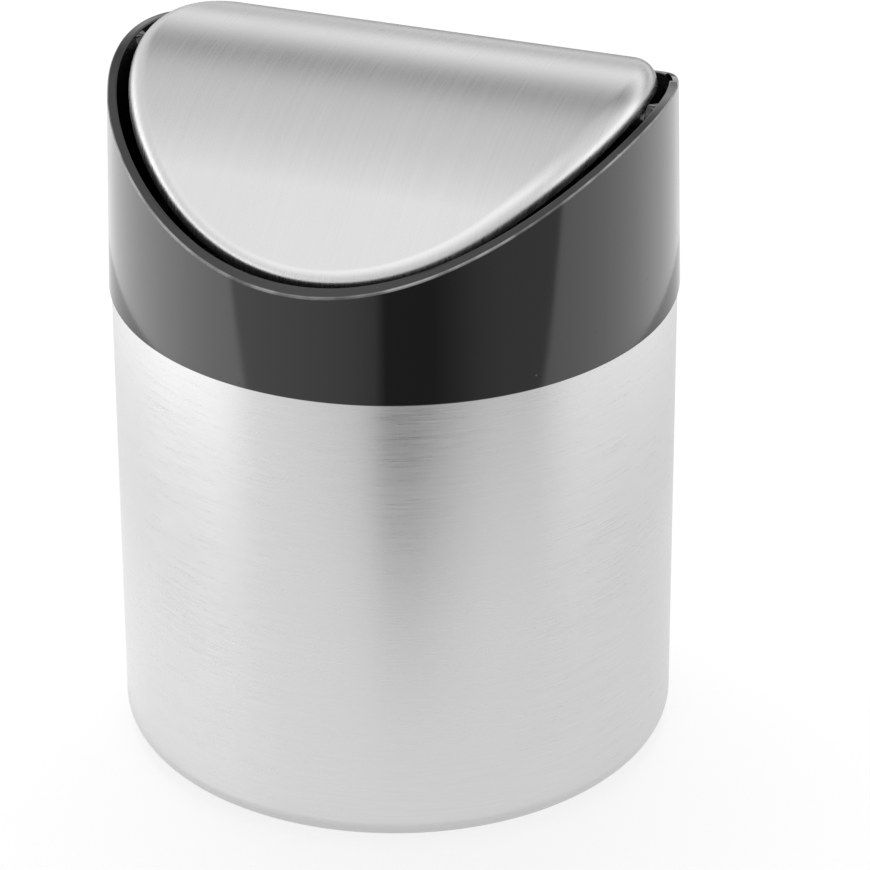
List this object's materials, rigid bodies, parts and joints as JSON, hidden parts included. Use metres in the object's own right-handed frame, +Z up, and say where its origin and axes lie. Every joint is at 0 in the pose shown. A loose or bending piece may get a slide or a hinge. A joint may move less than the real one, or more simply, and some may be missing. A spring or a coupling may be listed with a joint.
{
  "type": "countertop trash can",
  "caption": "Small round steel countertop bin with a lift-off black plastic collar and a ridged steel lid that swings both ways.",
  "frame": {"origin": "centre of the bin, on the surface that it stands on", "axes": "+Z up, +X along the lid's swing axis, -Y the front"},
  "size_m": [0.12, 0.12, 0.155],
  "materials": {
    "brushed_steel": "fine brushed, satin",
    "base_steel": "plain mill",
    "foot_rubber": "matte",
    "collar_plastic": "high gloss",
    "liner_plastic": "satin",
    "pin_steel": "turned"
  },
  "bodies": {
    "can": {"body_wall": "brushed_steel", "base_plate": "base_steel", "foot_ring": "foot_rubber"},
    "top": {"collar": "collar_plastic"},
    "lid": {"lid_skin": "brushed_steel", "lid_liner": "liner_plastic", "pivot_pin_left": "pin_steel", "pivot_pin_right": "pin_steel"}
  },
  "joints": [
    {"name": "collar_lift", "type": "slide", "parent": "can", "child": "top", "axis": [0, 0, 1], "range_m": [0, 0.03]},
    {"name": "lid_swing", "type": "hinge", "parent": "top", "child": "lid", "pos_m": [0, 0, 0.148], "axis": [1, 0, 0], "range_deg": [-90, 90]}
  ]
}
